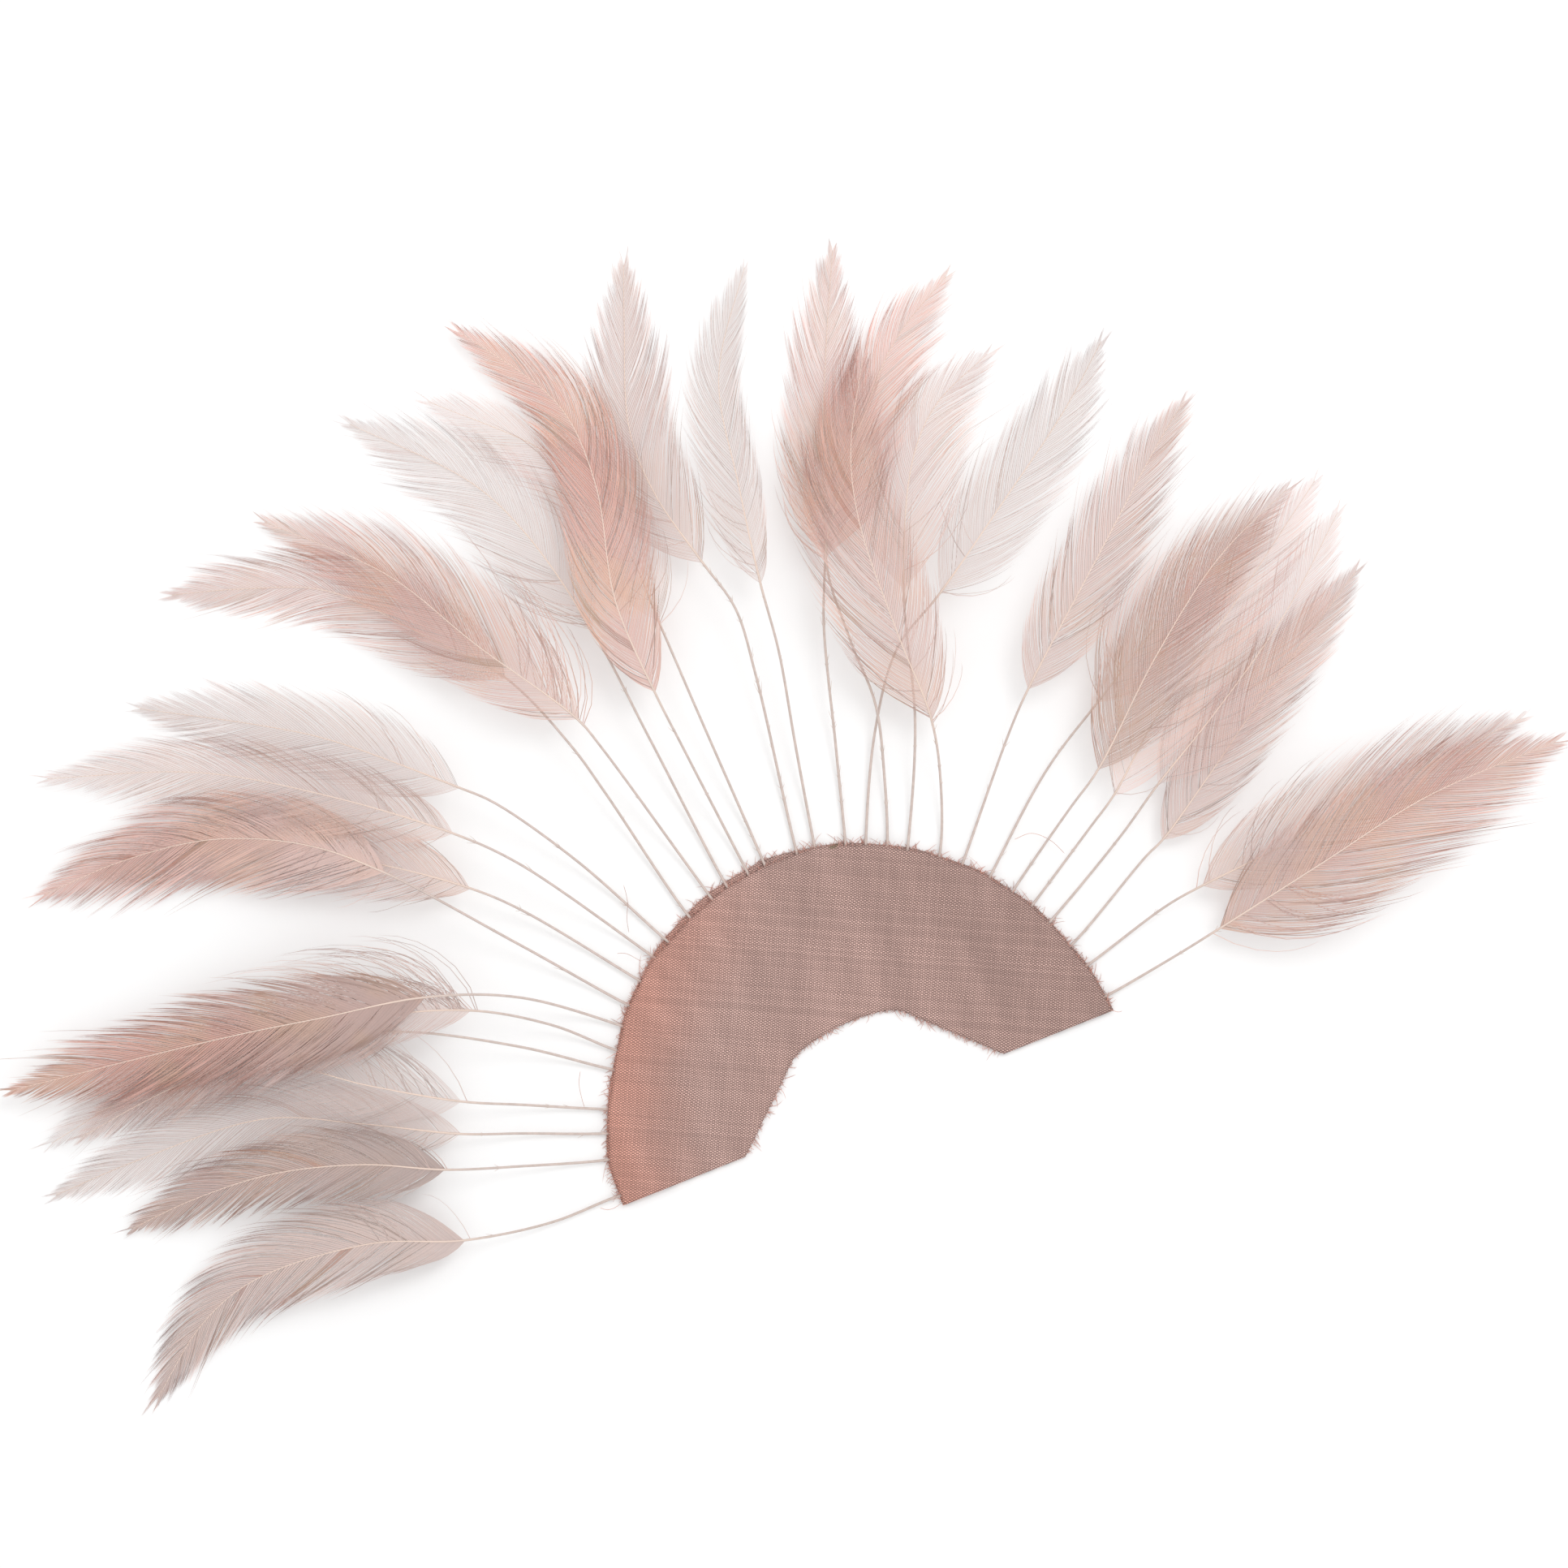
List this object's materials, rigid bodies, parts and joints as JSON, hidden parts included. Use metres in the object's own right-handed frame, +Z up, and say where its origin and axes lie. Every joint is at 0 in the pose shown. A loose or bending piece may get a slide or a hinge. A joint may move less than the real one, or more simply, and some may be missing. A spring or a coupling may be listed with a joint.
{
  "type": "hackle feather fan",
  "caption": "Millinery fan of stripped hackle feathers, bare stems spreading from a half-ring of two glued cloths to soft vaned tips; lies flat and is fastened by its cloth pad.",
  "frame": {"origin": "underside of the back cloth, in the middle of its half-ring band", "axes": "+X along the straight cut ends of the cloths, +Y out through the middle of the fan, +Z up from the surface it lies on"},
  "size_m": [0.2935, 0.1662, 0.0114],
  "materials": {
    "cloth": "dusty rose plain-weave cotton, matt",
    "feather": "dyed blush pink hackle, soft sheen, thin enough to let light through"
  },
  "bodies": {
    "root": {"back_cloth": "cloth", "front_cloth": "cloth", "hackle_01": "feather", "hackle_02": "feather", "hackle_03": "feather", "hackle_04": "feather", "hackle_05": "feather", "hackle_06": "feather", "hackle_07": "feather", "hackle_08": "feather", "hackle_09": "feather", "hackle_10": "feather", "hackle_11": "feather", "hackle_12": "feather", "hackle_13": "feather", "hackle_14": "feather", "hackle_15": "feather", "hackle_16": "feather", "hackle_17": "feather", "hackle_18": "feather", "hackle_19": "feather", "hackle_20": "feather", "hackle_21": "feather", "hackle_22": "feather", "hackle_23": "feather", "hackle_24": "feather", "hackle_25": "feather", "hackle_26": "feather", "hackle_27": "feather", "hackle_28": "feather", "hackle_29": "feather", "hackle_30": "feather", "hackle_31": "feather"}
  },
  "joints": []
}
